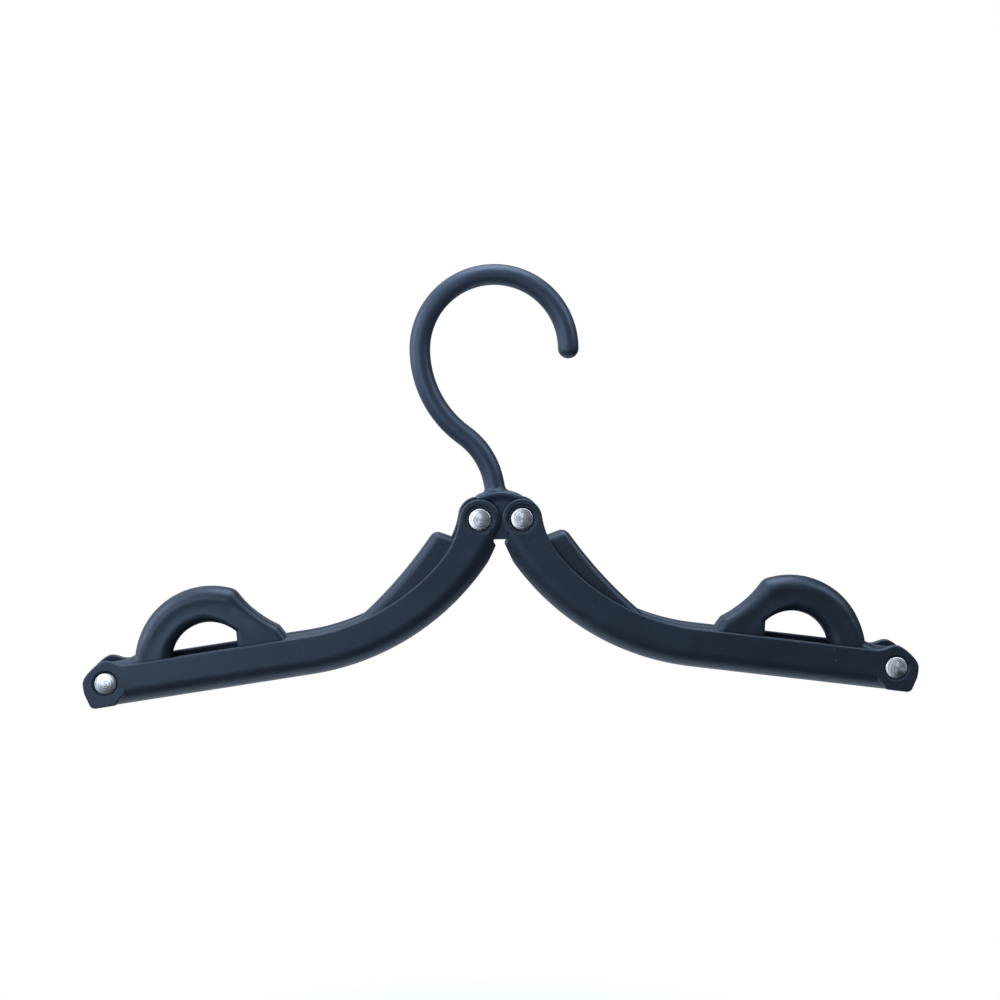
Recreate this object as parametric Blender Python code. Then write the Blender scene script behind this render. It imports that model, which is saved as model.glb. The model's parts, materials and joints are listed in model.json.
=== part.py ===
"""Folding travel hanger: a hook hub, two channel arms, two swing-out extensions and four rivets.

The part hangs on its hook. X runs along the arms, Y through the thickness, Z up, and the
origin is the rail seat at the inside top of the hook. The pose is the open hanger with both
extensions stored. Each arm folds up about its hub rivet and each extension swings up and
over about its tip rivet. Lengths are in metres.

Outlines are drawn in the plane of the hanger as (x, z) points. Those of an arm and its
extension are drawn once, for the right side, from the arm's hub pivot, and mirrored for
the left side.
"""
import math

import bmesh
import bpy

MM = 0.001

# Gaps shared by all pieces
TOUCH_GAP = 0.3 * MM
CUT_OVERRUN = 5.0 * MM

# Hook
ROD_RADIUS = 3.1 * MM
RING_RADIUS = 22.1 * MM
LOWER_ARC_RADIUS = 31.7 * MM
STEM_ARC_RADIUS = 22.3 * MM
STEM_LENGTH = 11.4 * MM
STEM_FLARE = 1.0 * MM
STEM_OFFSET = 0.4 * MM
LOWER_ARC_DEGREES = 53.3
STEM_LEAN_DEGREES = 10.9

# Arm channel
ARM_RUN = 111.9 * MM
ARM_DROP = 46.9 * MM
ARM_WIDTH = 13.0 * MM
WALL = 2.0 * MM
WEB = 2.0 * MM
FLOOR_DROP = 7.5 * MM
WALL_RISE = 4.65 * MM
BEND_RADIUS = 77.0 * MM
BEND_HUB_DEPTH = 8.9 * MM
BEND_END_RUN = 10.9 * MM
BOTTOM_ROUND = 4.0 * MM
EAR_PROUD = 0.1 * MM
STRAIGHT_SLOPE_DEGREES = 7.8

# Hub end of an arm
PIVOT_SPACING = 12.56 * MM
HUB_EAR_RADIUS = 6.0 * MM
SHOULDER_RADIUS = 25.0 * MM
LIP_SPACING = 2.9 * MM
LIP_DROP = 8.0 * MM
LIP_HEIGHT = 1.1 * MM
LIP_ROOM = 0.25 * MM
HUB_EAR_START_DEGREES = -55.0
WALL_EDGE_SPACING = 4.26 * MM
STOP_SHELF = 1.65 * MM

# Tip end of an arm
TIP_EAR_RADIUS = 6.8 * MM
TIP_EAR_FILLET = 6.0 * MM
TIP_FLAT_DISTANCE = 6.0 * MM
TIP_CORNER_RUN = 5.4 * MM
TIP_SIDE_DROP = 2.0 * MM
TIP_BOSS_RADIUS = 6.4 * MM
TIP_BOSS_FOOT = 2.75 * MM
TIP_FOOT_DROP = 6.95 * MM
TIP_FLAT_DEGREES = 54.0

# Hub body
HUB_DEPTH = 6.2 * MM
HUB_FLOOR_WIDTH = 6.8 * MM
LUG_RADIUS = 5.7 * MM
CAP_GAP = 0.4 * MM
CAP_RISE = 8.2 * MM
CAP_RADIUS = 20.5 * MM
CAP_UNDERSIDE = 4.7 * MM
CAP_ROUND = 1.4 * MM
CORE_RISE = 6.9 * MM
CAP_END_DEGREES = 77.0

# Extension
RAMP_START = 5.8 * MM
RAMP_RISE = 6.3 * MM
LOOP_DISTANCE = 31.5 * MM
LOOP_RISE = 0.8 * MM
LOOP_RADIUS = 22.9 * MM
LOOP_BAND = 10.75 * MM
LOOP_SILL = 1.0 * MM
LEG_DISTANCE = 39.4 * MM
FIN_RADIUS = 30.0 * MM
FIN_END = 53.1 * MM
FIN_END_RISE = 8.4 * MM
FIN_TOE = 55.8 * MM
BAR_SINK = 0.5 * MM
TAB_START = 36.0 * MM
TAB_TIP_RUN = 13.4 * MM
TAB_TIP_DROP = 3.6 * MM
TAB_RADIUS = 137.0 * MM
TAB_CORNER = 2.6 * MM
END_CLEARANCE = 3.0 * MM
EXTENSION_ROUND = 2.4 * MM
LOOP_CORNER_DEGREES = 62.8
LOOP_LEG_DEGREES = 43.2
TAB_END_SLOPE_DEGREES = 20.0

# Rivets
SHANK_RADIUS = 2.0 * MM
HEAD_RADIUS = 3.25 * MM
HEAD_RIM = 0.5 * MM
HEAD_CROWN = 0.45 * MM
SINK_DEPTH = 0.9 * MM
HUB_SINK_RADIUS = 4.4 * MM
TIP_SINK_RADIUS = 3.9 * MM

# Facets
FINE_STEP = 12.0
CROWN_STEP = 6.0
LOOP_STEP = 7.5
BEND_STEP = 4.0
ROD_SIDES = 16
RIVET_SIDES = 28
ROUND_SEGMENTS = 3
ROUND_PROFILE = 0.5
ROD_TIP_STEPS = 4
ROD_TIP_FIRST_SHARE = 0.25
FLARE_STEPS = 4
SHARP_DEGREES = 35.0
NEAR = 0.1 * MM
MERGE_DISTANCE = 0.01 * MM


def point_at(centre, radius, degrees):
    angle = math.radians(degrees)
    return (centre[0] + radius * math.cos(angle), centre[1] + radius * math.sin(angle))


def moved(point, direction, distance):
    return (point[0] + direction[0] * distance, point[1] + direction[1] * distance)


def heading(start, end):
    """Angle in degrees of the line from start to end."""
    return math.degrees(math.atan2(end[1] - start[1], end[0] - start[0]))


def arc(centre, radius, start, end, step=FINE_STEP):
    """Points along an arc, both ends included, no more than step degrees apart."""
    count = max(1, math.ceil(abs(end - start) / step))
    return [point_at(centre, radius, start + (end - start) * i / count) for i in range(count + 1)]


def arc_between(start, end, radius, side, step=FINE_STEP):
    """Points along the short arc of a given radius; its centre lies left (1) or right (-1)."""
    half = math.dist(start, end) / 2
    middle = ((start[0] + end[0]) / 2, (start[1] + end[1]) / 2)
    across = heading(start, end) + side * 90
    centre = point_at(middle, math.sqrt(radius * radius - half * half), across)
    first = heading(centre, start)
    sweep = (heading(centre, end) - first + 180) % 360 - 180
    return arc(centre, radius, first, first + sweep, step)


def circles_meet(first, first_radius, second, second_radius, side):
    """The point where two circles cross, left (1) or right (-1) of the line of centres."""
    apart = math.dist(first, second)
    cosine = (first_radius ** 2 + apart ** 2 - second_radius ** 2) / (2 * first_radius * apart)
    turn = side * math.degrees(math.acos(cosine))
    return point_at(first, first_radius, heading(first, second) + turn)


def make_material(name, colour, roughness, metallic):
    material = bpy.data.materials.new(name)
    material.use_nodes = True
    shader = material.node_tree.nodes["Principled BSDF"]
    shader.inputs["Base Color"].default_value = (*colour, 1.0)
    shader.inputs["Roughness"].default_value = roughness
    shader.inputs["Metallic"].default_value = metallic
    return material


def moulded_plastic(name):
    return make_material(name, (0.022, 0.029, 0.044), 0.45, 0.0)


def bright_aluminium(name):
    return make_material(name, (0.80, 0.81, 0.84), 0.28, 1.0)


def add_object(name, mesh_data, material=None):
    item = bpy.data.objects.new(name, mesh_data)
    bpy.context.scene.collection.objects.link(item)
    if material is not None:
        mesh_data.materials.append(material)
    return item


def finish_mesh(bm, name):
    """Turn a bmesh into a mesh whose faces point out and whose round stretches are smooth."""
    bmesh.ops.recalc_face_normals(bm, faces=bm.faces)
    mesh_data = bpy.data.meshes.new(name)
    bm.to_mesh(mesh_data)
    bm.free()
    mesh_data.shade_smooth()
    mesh_data.set_sharp_from_angle(angle=math.radians(SHARP_DEGREES))
    return mesh_data


def plate(outline, half_width, side=1):
    """A bmesh plate with the given outline, from -half_width to half_width along Y."""
    bm = bmesh.new()
    corners = [bm.verts.new((side * x, -half_width, z)) for x, z in outline]
    face = bm.faces.new(corners)
    grown = bmesh.ops.extrude_face_region(bm, geom=[face])
    far = [v for v in grown["geom"] if isinstance(v, bmesh.types.BMVert)]
    bmesh.ops.translate(bm, vec=(0, 2 * half_width, 0), verts=far)
    bmesh.ops.recalc_face_normals(bm, faces=bm.faces)
    return bm


def round_rims(bm, radius, wanted):
    """Round the front and back rims of a plate where wanted(x, z) holds at both edge ends."""
    rims = []
    for edge in bm.edges:
        a, b = (v.co for v in edge.verts)
        if a.y * b.y > 0 and wanted(a.x, a.z) and wanted(b.x, b.z):
            rims.append(edge)
    bmesh.ops.bevel(bm, geom=rims, offset=radius, offset_type="OFFSET", segments=ROUND_SEGMENTS,
                    profile=ROUND_PROFILE, affect="EDGES", clamp_overlap=True)


def cylinder(name, centre, radius, half_length, sides=RIVET_SIDES):
    """A cylinder along Y, used as a cutter."""
    outline = arc(centre, radius, 0, 360, 360 / sides)[:-1]
    return add_object(name, finish_mesh(plate(outline, half_length), name))


def combine(target, other, operation):
    """Add or subtract a hidden object, keeping it as a wire guide under the target."""
    other.parent = target
    other.hide_render = True
    other.display_type = "WIRE"
    change = target.modifiers.new(other.name, "BOOLEAN")
    change.operation = operation
    change.solver = "EXACT"
    change.object = other


# Direction of the arm's straight length, from the tip pivot inwards, and square to it
INWARD = point_at((0.0, 0.0), 1, 180 - STRAIGHT_SLOPE_DEGREES)
UPWARD = point_at((0.0, 0.0), 1, 90 - STRAIGHT_SLOPE_DEGREES)
HUB_PIVOT = (0.0, 0.0)
TIP_PIVOT = (ARM_RUN, -ARM_DROP)
HALF_WIDTH = ARM_WIDTH / 2
CHANNEL_HALF = HALF_WIDTH - WALL
FILL_HALF = CHANNEL_HALF - TOUCH_GAP
# The extension's inner end is swept about the tip pivot, clear of the hub's lug
SWING_RADIUS = math.dist(HUB_PIVOT, TIP_PIVOT) - LUG_RADIUS - END_CLEARANCE


def from_tip(inwards, up):
    """A point given along the straight length from the tip pivot and square to it."""
    return moved(moved(TIP_PIVOT, INWARD, inwards), UPWARD, up)


def straight_length():
    """Length from the tip pivot to the bend, whose bottom line passes below the hub pivot."""
    start = from_tip(0, BEND_RADIUS - FLOOR_DROP)
    along = start[0] * INWARD[0] + start[1] * INWARD[1]
    off_square = start[0] ** 2 + start[1] ** 2 - along ** 2
    return -along - math.sqrt((BEND_RADIUS - BEND_HUB_DEPTH) ** 2 - off_square)


STRAIGHT_LENGTH = straight_length()
BEND_CENTRE = from_tip(STRAIGHT_LENGTH, BEND_RADIUS - FLOOR_DROP)
BEND_START_ANGLE = 270 - STRAIGHT_SLOPE_DEGREES
BEND_END_ANGLE = heading(BEND_CENTRE, HUB_PIVOT) % 360 + math.degrees(BEND_END_RUN / BEND_RADIUS)


def bend_radius_at(rise):
    """Radius of the bend for a line that runs this far above the line of the tip pivot."""
    return BEND_RADIUS - FLOOR_DROP - rise


def bend_angle_at_x(radius, x):
    """Angle on the bend where its lower left side has the given x."""
    return 180 + math.degrees(math.acos((BEND_CENTRE[0] - x) / radius))


def shoulder_centre():
    """Centre of the shoulder, which touches the hub ear's circle and the bend's top line."""
    top_radius = bend_radius_at(WALL_RISE)
    return circles_meet(HUB_PIVOT, HUB_EAR_RADIUS + SHOULDER_RADIUS,
                        BEND_CENTRE, top_radius - SHOULDER_RADIUS, -1)


def lip_points():
    """The web end's lower tip and the corner of the wall edge above it."""
    tip = ((LIP_SPACING - PIVOT_SPACING) / 2, -LIP_DROP)
    corner = ((WALL_EDGE_SPACING - PIVOT_SPACING) / 2, -LIP_DROP + LIP_HEIGHT)
    return tip, corner


def arm_body_outline():
    """Side of the channel: lip, bottom line, straight top, bend and shoulder."""
    lip, corner = lip_points()
    top_radius = bend_radius_at(WALL_RISE)
    shoulder = shoulder_centre()
    ear_start = heading(HUB_PIVOT, shoulder)
    shoulder_start = heading(BEND_CENTRE, shoulder) % 360
    outline = [lip]
    outline += arc(BEND_CENTRE, BEND_RADIUS, BEND_END_ANGLE, BEND_START_ANGLE, BEND_STEP)
    outline += [from_tip(0, -FLOOR_DROP), from_tip(0, WALL_RISE)]
    outline += arc(BEND_CENTRE, top_radius, BEND_START_ANGLE, shoulder_start, BEND_STEP)
    outline += arc(shoulder, SHOULDER_RADIUS, shoulder_start, ear_start + 180, FINE_STEP)[1:]
    lip_turn = heading(lip, corner) - heading(lip, outline[1])
    rounding_reach = BOTTOM_ROUND / math.sin(math.radians(lip_turn))
    outline += [HUB_PIVOT, point_at(lip, rounding_reach + LIP_ROOM, heading(lip, corner))]
    return outline


def hub_ear_outline():
    """Flat ear round the hub rivet, with the wall edge that runs down into the lip."""
    edge, drop = lip_points()[1]
    ear_end = 180 + math.degrees(math.acos(-edge / HUB_EAR_RADIUS))
    return arc(HUB_PIVOT, HUB_EAR_RADIUS, HUB_EAR_START_DEGREES, ear_end) + [(edge, drop - EAR_PROUD)]


def tip_ear_outline():
    """Flat boss round the tip rivet, with its slanted flat and its cut lower corner."""
    fillet_up = WALL_RISE + TIP_EAR_FILLET - EAR_PROUD
    fillet_in = math.sqrt((TIP_EAR_RADIUS + TIP_EAR_FILLET) ** 2 - fillet_up ** 2)
    fillet_centre = from_tip(fillet_in, fillet_up)
    tilt = STRAIGHT_SLOPE_DEGREES
    flat_half = math.degrees(math.acos(TIP_FLAT_DISTANCE / TIP_EAR_RADIUS))
    crown_start = heading(TIP_PIVOT, fillet_centre)
    boss_foot = math.degrees(math.acos(TIP_BOSS_FOOT / TIP_BOSS_RADIUS))
    outline = [from_tip(-TIP_CORNER_RUN, -TIP_FOOT_DROP), from_tip(-TIP_EAR_RADIUS, -TIP_SIDE_DROP)]
    outline += arc(TIP_PIVOT, TIP_EAR_RADIUS, -tilt, TIP_FLAT_DEGREES - flat_half - tilt)
    outline += arc(TIP_PIVOT, TIP_EAR_RADIUS, TIP_FLAT_DEGREES + flat_half - tilt, crown_start)
    outline += arc(fillet_centre, TIP_EAR_FILLET, crown_start - 180, -90 - tilt)[1:]
    outline += arc(TIP_PIVOT, TIP_BOSS_RADIUS, 180 - tilt, 180 - tilt + boss_foot)
    outline += [from_tip(TIP_BOSS_FOOT, -TIP_FOOT_DROP)]
    return outline


def channel_outline():
    """The hollow between the walls: stop shelf, floor along the bend and out past the tip."""
    inner_radius = BEND_RADIUS - WEB
    floor = -FLOOR_DROP + WEB
    shelf_z = -HUB_DEPTH - TOUCH_GAP
    shelf_x = (WALL_EDGE_SPACING - PIVOT_SPACING) / 2 + STOP_SHELF
    far_out = TIP_EAR_RADIUS + CUT_OVERRUN
    high = HUB_EAR_RADIUS + CUT_OVERRUN
    start_angle = bend_angle_at_x(inner_radius, shelf_x)
    outline = [(-high, shelf_z), (shelf_x, shelf_z)]
    outline += arc(BEND_CENTRE, inner_radius, start_angle, BEND_START_ANGLE, BEND_STEP)
    outline += [from_tip(-far_out, floor), from_tip(-far_out, high)]
    outline += [(-high, high)]
    return outline


def on_floor(side, radius, drop):
    """A test for points on the bend's or the straight length's line at the given depth."""

    def test(x, z):
        point = (side * x, z)
        along = (point[0] - TIP_PIVOT[0]) * INWARD[0] + (point[1] - TIP_PIVOT[1]) * INWARD[1]
        up = (point[0] - TIP_PIVOT[0]) * UPWARD[0] + (point[1] - TIP_PIVOT[1]) * UPWARD[1]
        on_straight = along <= STRAIGHT_LENGTH + NEAR and abs(up + drop) < NEAR
        on_bend = abs(math.dist(point, BEND_CENTRE) - radius) < NEAR and along > STRAIGHT_LENGTH
        at_lip = math.dist(point, lip_points()[0]) < NEAR
        return on_straight or on_bend or at_lip

    return test


def rivet_seat(target, name, centre, sink_radius):
    """Rivet hole and the counterbores at both faces."""
    bore = cylinder(name + "_hole", centre, SHANK_RADIUS + TOUCH_GAP, ARM_WIDTH)
    combine(target, bore, "DIFFERENCE")
    for face, place in (("front", -1), ("back", 1)):
        sink = cylinder(name + "_sink_" + face, centre, sink_radius, CUT_OVERRUN)
        sink.location.y = place * (HALF_WIDTH - SINK_DEPTH + CUT_OVERRUN)
        combine(target, sink, "DIFFERENCE")


def make_arm(name, side, hub_pivot):
    body = plate(arm_body_outline(), HALF_WIDTH, side)
    round_rims(body, BOTTOM_ROUND, on_floor(side, BEND_RADIUS, FLOOR_DROP))
    arm = add_object(name, finish_mesh(body, name), moulded_plastic(name + "_plastic"))
    arm.location = hub_pivot
    boss = plate(tip_ear_outline(), HALF_WIDTH + EAR_PROUD, side)
    ear = add_object(name + "_tip_ear", finish_mesh(boss, name + "_tip_ear"))
    combine(arm, ear, "UNION")
    hub_ear = finish_mesh(plate(hub_ear_outline(), HALF_WIDTH + EAR_PROUD, side), name + "_hub_ear")
    combine(arm, add_object(name + "_hub_ear", hub_ear), "UNION")
    channel = plate(channel_outline(), CHANNEL_HALF, side)
    inner_round = BOTTOM_ROUND - WALL
    round_rims(channel, inner_round, on_floor(side, BEND_RADIUS - WEB, FLOOR_DROP - WEB))
    combine(arm, add_object(name + "_channel", finish_mesh(channel, name + "_channel")), "DIFFERENCE")
    rivet_seat(arm, name + "_hub", HUB_PIVOT, HUB_SINK_RADIUS)
    rivet_seat(arm, name + "_tip", (side * TIP_PIVOT[0], TIP_PIVOT[1]), TIP_SINK_RADIUS)
    return arm


def extension_outline():
    """Knuckle, ramp, loop, fin, bar, tab and swept inner end, drawn from the hub pivot."""
    tilt = STRAIGHT_SLOPE_DEGREES
    knuckle = FLOOR_DROP - WEB - TOUCH_GAP
    bar_rise = WALL_RISE - BAR_SINK
    loop_centre = from_tip(LOOP_DISTANCE, LOOP_RISE)
    loop_foot = math.degrees(math.asin((RAMP_RISE - LOOP_RISE) / LOOP_RADIUS))
    loop_corner = 180 - tilt - LOOP_CORNER_DEGREES
    fin_start = point_at(loop_centre, LOOP_RADIUS, loop_corner)
    fin_end = from_tip(FIN_END, FIN_END_RISE)
    bar_top = bend_radius_at(bar_rise)
    bar_bottom = bend_radius_at(-knuckle)
    tab_start = bend_angle_at_x(bar_top, TAB_START)
    tab_root = point_at(BEND_CENTRE, bar_top, tab_start)
    end_heading = 180 + TAB_END_SLOPE_DEGREES
    tab_tip = (TAB_TIP_RUN, -TAB_TIP_DROP)
    end_point = line_to_circle(tab_tip, end_heading, TIP_PIVOT, SWING_RADIUS)
    heel = circles_meet(TIP_PIVOT, SWING_RADIUS, BEND_CENTRE, bar_bottom, 1)
    outline = arc(TIP_PIVOT, knuckle, -90 - tilt, 90 - tilt)
    outline += [from_tip(RAMP_START, knuckle)]
    outline += arc(loop_centre, LOOP_RADIUS, loop_foot - tilt, loop_corner, LOOP_STEP)
    outline += arc_between(fin_start, fin_end, FIN_RADIUS, -1, LOOP_STEP)[1:]
    outline += [from_tip(FIN_TOE, bar_rise)]
    outline += arc(BEND_CENTRE, bar_top, BEND_START_ANGLE, tab_start, BEND_STEP)
    tab_edge = arc_between(tab_root, tab_tip, TAB_RADIUS, -1, BEND_STEP)
    outline += rounded_corner(tab_edge[-2], tab_tip, end_point, TAB_CORNER, tab_edge[1:-1])
    outline += arc(TIP_PIVOT, SWING_RADIUS, heading(TIP_PIVOT, end_point) % 360,
                   heading(TIP_PIVOT, heel) % 360, BEND_STEP)
    heel_angle = heading(BEND_CENTRE, heel) % 360
    outline += arc(BEND_CENTRE, bar_bottom, heel_angle, BEND_START_ANGLE, BEND_STEP)[1:]
    return outline


def line_to_circle(start, degrees, centre, radius):
    """Where a line from start first meets a circle that it starts inside of."""
    direction = point_at(HUB_PIVOT, 1, degrees)
    to_start = (start[0] - centre[0], start[1] - centre[1])
    along = to_start[0] * direction[0] + to_start[1] * direction[1]
    off_square = to_start[0] ** 2 + to_start[1] ** 2 - along ** 2
    return moved(start, direction, math.sqrt(radius ** 2 - off_square) - along)


def rounded_corner(before, corner, after, radius, lead):
    """The lead points, then an arc of the given radius in place of the corner."""
    turn_in = heading(corner, before)
    turn_out = heading(corner, after)
    opening = abs((turn_out - turn_in + 180) % 360 - 180)
    middle = turn_in + ((turn_out - turn_in + 180) % 360 - 180) / 2
    reach = radius / math.sin(math.radians(opening / 2))
    cut = radius / math.tan(math.radians(opening / 2))
    centre = point_at(corner, reach, middle)
    first = point_at(corner, cut, turn_in)
    last = point_at(corner, cut, turn_out)
    kept = [p for p in lead if math.dist(p, corner) > cut + radius / 2]
    start = heading(centre, first)
    sweep = (heading(centre, last) - start + 180) % 360 - 180
    return kept + arc(centre, radius, start, start + sweep, 2 * FINE_STEP)


def loop_hole_outline():
    """The opening inside the loop: a round top, a straight leg and a sill inside the channel."""
    tilt = STRAIGHT_SLOPE_DEGREES
    radius = LOOP_RADIUS - LOOP_BAND
    centre = from_tip(LOOP_DISTANCE, LOOP_RISE)
    sill = math.degrees(math.asin((LOOP_SILL - LOOP_RISE) / radius))
    outline = arc(centre, radius, sill - tilt, 180 - tilt - LOOP_LEG_DEGREES, LOOP_STEP)
    return outline + [from_tip(LEG_DISTANCE, LOOP_SILL)]


def everywhere(x, z):
    return True


def make_extension(name, side, hub_pivot):
    tip = (side * TIP_PIVOT[0], TIP_PIVOT[1])
    outline = [(x - TIP_PIVOT[0], z - TIP_PIVOT[1]) for x, z in extension_outline()]
    bar = plate(outline, FILL_HALF, side)
    round_rims(bar, EXTENSION_ROUND, everywhere)
    extension = add_object(name, finish_mesh(bar, name), moulded_plastic(name + "_plastic"))
    extension.location = (hub_pivot[0] + tip[0], hub_pivot[1], hub_pivot[2] + tip[1])
    hole = [(x - TIP_PIVOT[0], z - TIP_PIVOT[1]) for x, z in loop_hole_outline()]
    cutter = add_object(name + "_loop", finish_mesh(plate(hole, ARM_WIDTH, side), name + "_loop"))
    combine(extension, cutter, "DIFFERENCE")
    bore = cylinder(name + "_hole", HUB_PIVOT, SHANK_RADIUS + TOUCH_GAP, ARM_WIDTH)
    combine(extension, bore, "DIFFERENCE")
    return extension


def hook_line():
    """Centre line of the hook from its tip to the stem's root, and the pivots' middle point."""
    ring_centre = (0.0, ROD_RADIUS - RING_RADIUS)
    lower_centre = (ring_centre[0] - RING_RADIUS + LOWER_ARC_RADIUS, ring_centre[1])
    lower_end = 180 + LOWER_ARC_DEGREES
    stem_centre = point_at(lower_centre, LOWER_ARC_RADIUS + STEM_ARC_RADIUS, lower_end)
    line = arc(ring_centre, RING_RADIUS, 0, 180, LOOP_STEP)
    line += arc(lower_centre, LOWER_ARC_RADIUS, 180, lower_end, LOOP_STEP)[1:]
    line += arc(stem_centre, STEM_ARC_RADIUS, LOWER_ARC_DEGREES, STEM_LEAN_DEGREES, LOOP_STEP)[1:]
    down = point_at(HUB_PIVOT, 1, STEM_LEAN_DEGREES - 90)
    foot = moved(line[-1], down, STEM_LENGTH)
    middle = (foot[0] - STEM_OFFSET, foot[1])
    return line, down, middle


def sweep_rod(stations):
    """A round rod through (x, z, radius, direction in degrees) stations, closed at both ends."""
    bm = bmesh.new()
    rings = []
    for x, z, radius, degrees in stations:
        across = point_at(HUB_PIVOT, 1, degrees + 90)
        ring = []
        for i in range(ROD_SIDES):
            turn = 2 * math.pi * i / ROD_SIDES
            out = radius * math.cos(turn)
            ring.append(bm.verts.new((x + across[0] * out, radius * math.sin(turn), z + across[1] * out)))
        rings.append(ring)
    for ring, following in zip(rings, rings[1:]):
        for i in range(ROD_SIDES):
            j = (i + 1) % ROD_SIDES
            bm.faces.new((ring[i], ring[j], following[j], following[i]))
    bm.faces.new(rings[0])
    bm.faces.new(rings[-1])
    return bm


def hook_stations():
    """Stations of the hook rod: round tip, the arcs, the stem and the flare into the cap."""
    line, down, middle = hook_line()
    stations = []
    for i in range(ROD_TIP_STEPS):
        angle = math.radians(90 * (i + ROD_TIP_FIRST_SHARE) / ROD_TIP_STEPS)
        reach = ROD_RADIUS * math.cos(angle)
        stations.append((line[0][0], line[0][1] - reach, ROD_RADIUS * math.sin(angle), 90.0))
    for i, point in enumerate(line):
        before = line[max(i - 1, 0)]
        after = line[min(i + 1, len(line) - 1)]
        direction = heading(before, after)
        if i == 0:
            direction = 90.0
        if i == len(line) - 1:
            direction = STEM_LEAN_DEGREES - 90
        stations.append((point[0], point[1], ROD_RADIUS, direction))
    lean = STEM_LEAN_DEGREES - 90
    to_cap = (line[-1][1] - middle[1] - CAP_RISE) / -down[1]
    for i in range(FLARE_STEPS + 1):
        rise = STEM_FLARE * (1 - i / FLARE_STEPS)
        widen = STEM_FLARE - math.sqrt(STEM_FLARE ** 2 - (STEM_FLARE - rise) ** 2)
        x, z = moved(line[-1], down, to_cap - rise)
        stations.append((x, z, ROD_RADIUS + widen, lean))
    x, z = moved(line[-1], down, to_cap + CAP_ROUND)
    stations.append((x, z, ROD_RADIUS + STEM_FLARE, lean))
    return stations


def cap_outline():
    """The hub's cap over the ears, drawn from the middle between the pivots."""
    pivot = (PIVOT_SPACING / 2, 0.0)
    under_radius = HUB_EAR_RADIUS + CAP_GAP
    crown_centre = (0.0, CAP_RISE - CAP_RADIUS)
    inner = 180 - math.degrees(math.asin(CAP_UNDERSIDE / under_radius))
    end = line_to_circle(pivot, CAP_END_DEGREES, crown_centre, CAP_RADIUS)
    top = heading(crown_centre, end)
    right = arc(pivot, under_radius, inner, CAP_END_DEGREES)
    crown = arc(crown_centre, CAP_RADIUS, top, 180 - top, CROWN_STEP)
    left = [(-x, z) for x, z in reversed(right)]
    return right + crown + left


def core_outline():
    """The hub's core between the walls: two lugs, a flat floor and a neck up into the cap."""
    pivot = (PIVOT_SPACING / 2, 0.0)
    corner = (HUB_FLOOR_WIDTH / 2, -HUB_DEPTH)
    tangent = heading(pivot, corner) + math.degrees(math.acos(LUG_RADIUS / math.dist(pivot, corner)))
    right = [corner] + arc(pivot, LUG_RADIUS, tangent % 360 - 360, 90)
    right += [(PIVOT_SPACING / 2 - CAP_GAP, CORE_RISE)]
    return right + [(-x, z) for x, z in reversed(right)]


def make_hook_hub():
    line, down, middle = hook_line()
    place = (middle[0], 0.0, middle[1])
    bm = plate(cap_outline(), HALF_WIDTH)
    crown_centre = (0.0, CAP_RISE - CAP_RADIUS)

    def on_crown(x, z):
        return abs(math.dist((x, z), crown_centre) - CAP_RADIUS) < NEAR

    round_rims(bm, CAP_ROUND, on_crown)
    hub = add_object("hook_hub", finish_mesh(bm, "hook_hub"), moulded_plastic("hook_plastic"))
    hub.location = place
    core = add_object("hook_hub_core", finish_mesh(plate(core_outline(), FILL_HALF), "hook_hub_core"))
    combine(hub, core, "UNION")
    rod = add_object("hook_hub_rod", finish_mesh(sweep_rod(hook_stations()), "hook_hub_rod"))
    rod.location = (-place[0], 0.0, -place[2])
    combine(hub, rod, "UNION")
    for side in (-1, 1):
        centre = (side * PIVOT_SPACING / 2, 0.0)
        bore = cylinder(f"hook_hub_hole_{side}", centre, SHANK_RADIUS + TOUCH_GAP, ARM_WIDTH)
        combine(hub, bore, "DIFFERENCE")
    return hub, middle


def rivet_profile():
    """Half section of a rivet from the front head's middle to the back head's, as (radius, y)."""
    seat = HALF_WIDTH - SINK_DEPTH + TOUCH_GAP
    chamfer = HEAD_RIM / 2
    front = [(0.0, -seat - HEAD_RIM - HEAD_CROWN), (HEAD_RADIUS - chamfer, -seat - HEAD_RIM),
             (HEAD_RADIUS, -seat - chamfer), (HEAD_RADIUS, -seat), (SHANK_RADIUS, -seat)]
    back = [(SHANK_RADIUS, seat), (HEAD_RADIUS, seat), (HEAD_RADIUS, seat + chamfer),
            (HEAD_RADIUS - chamfer, seat + HEAD_RIM), (0.0, seat + HEAD_RIM)]
    return front + back


def make_rivet(name, place):
    """A turned rivet: formed cone head in front, shank, flat factory head behind."""
    bm = bmesh.new()
    profile = [bm.verts.new((radius, y, 0.0)) for radius, y in rivet_profile()]
    edges = [bm.edges.new(pair) for pair in zip(profile, profile[1:])]
    bmesh.ops.spin(bm, geom=profile + edges, cent=(0, 0, 0), axis=(0, 1, 0), angle=2 * math.pi,
                   steps=RIVET_SIDES, use_duplicate=False)
    bmesh.ops.remove_doubles(bm, verts=bm.verts, dist=MERGE_DISTANCE)
    rivet = add_object(name, finish_mesh(bm, name), bright_aluminium(name + "_aluminium"))
    rivet.location = place
    return rivet


def build():
    for item in list(bpy.data.objects):
        bpy.data.objects.remove(item)
    hub, middle = make_hook_hub()
    for name, side in (("left", -1), ("right", 1)):
        hub_pivot = (middle[0] + side * PIVOT_SPACING / 2, 0.0, middle[1])
        tip_pivot = (hub_pivot[0] + side * TIP_PIVOT[0], 0.0, hub_pivot[2] + TIP_PIVOT[1])
        make_arm(name + "_arm", side, hub_pivot)
        make_extension(name + "_extension", side, hub_pivot)
        make_rivet("hub_rivet_" + name, hub_pivot)
        make_rivet("tip_rivet_" + name, tip_pivot)


build()
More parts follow.
